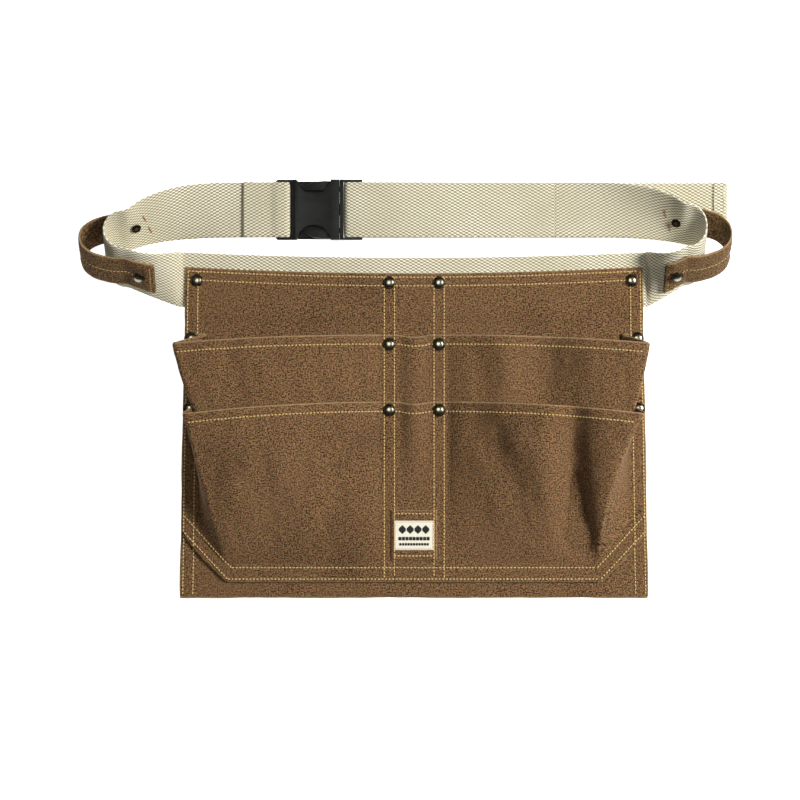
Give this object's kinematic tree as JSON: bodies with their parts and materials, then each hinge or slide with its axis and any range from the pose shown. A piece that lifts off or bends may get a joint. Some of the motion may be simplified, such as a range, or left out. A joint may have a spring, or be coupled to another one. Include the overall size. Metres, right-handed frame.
{
  "type": "tool belt",
  "caption": "Canvas waist tool apron with stacked bellows pockets and hammer loops, riveted to a webbing belt that closes with a side-release buckle.",
  "frame": {"origin": "middle of the back panel's underside, the face the apron lies on and that goes against the wearer", "axes": "+X along the belt towards its free end, +Y from the pocket bottoms up to the belt, +Z out of the pockets' front; the apron lies on its back"},
  "size_m": [0.5983, 0.3857, 0.0484],
  "materials": {
    "canvas": "brown cotton duck canvas, brushed matt",
    "webbing": "natural cotton webbing, coarse weave",
    "label": "woven cream label",
    "rivet": "antique dark finish, polished domes",
    "buckle": "moulded black acetal"
  },
  "bodies": {
    "apron": {"back_panel": "canvas", "upper_pocket_left": "canvas", "upper_pocket_slot": "canvas", "upper_pocket_right": "canvas", "lower_pocket_left": "canvas", "lower_pocket_slot": "canvas", "lower_pocket_right": "canvas", "label_patch": "canvas", "label": "label", "webbing": "webbing", "webbing_fold": "webbing", "webbing_slack": "webbing", "hammer_loop_left": "canvas", "hammer_loop_right": "canvas", "rivet_caps_columns": "rivet", "rivet_backs_columns": "rivet", "rivet_caps_corners": "rivet", "rivet_backs_corners": "rivet", "rivet_caps_sides": "rivet", "rivet_backs_sides": "rivet", "rivet_caps_loops": "rivet", "rivet_backs_loops": "rivet", "buckle_socket": "buckle"},
    "plug": {"buckle_plug": "buckle"},
    "prong_upper": {"buckle_prong_upper": "buckle"},
    "prong_lower": {"buckle_prong_lower": "buckle"},
    "free_end": {"webbing_tail": "webbing"}
  },
  "joints": [
    {"name": "plug_pull", "type": "slide", "parent": "apron", "child": "plug", "axis": [1, 0, 0], "range_m": [0, 0.036], "deforming": ["webbing_slack", "buckle_prong_upper", "buckle_prong_lower"]},
    {"name": "prong_upper_squeeze", "type": "hinge", "parent": "plug", "child": "prong_upper", "pos_m": [-0.0686, 0.2246, 0.0066], "axis": [0, 0, 1], "range_deg": [0, 8], "stiffness_Nm_per_rad": 0.4},
    {"name": "prong_lower_squeeze", "type": "hinge", "parent": "plug", "child": "prong_lower", "pos_m": [-0.0686, 0.1864, 0.0066], "axis": [0, 0, -1], "range_deg": [0, 8], "stiffness_Nm_per_rad": 0.4},
    {"name": "free_end_pull", "type": "slide", "parent": "plug", "child": "free_end", "axis": [1, 0, 0], "range_m": [0, 0.012]}
  ]
}
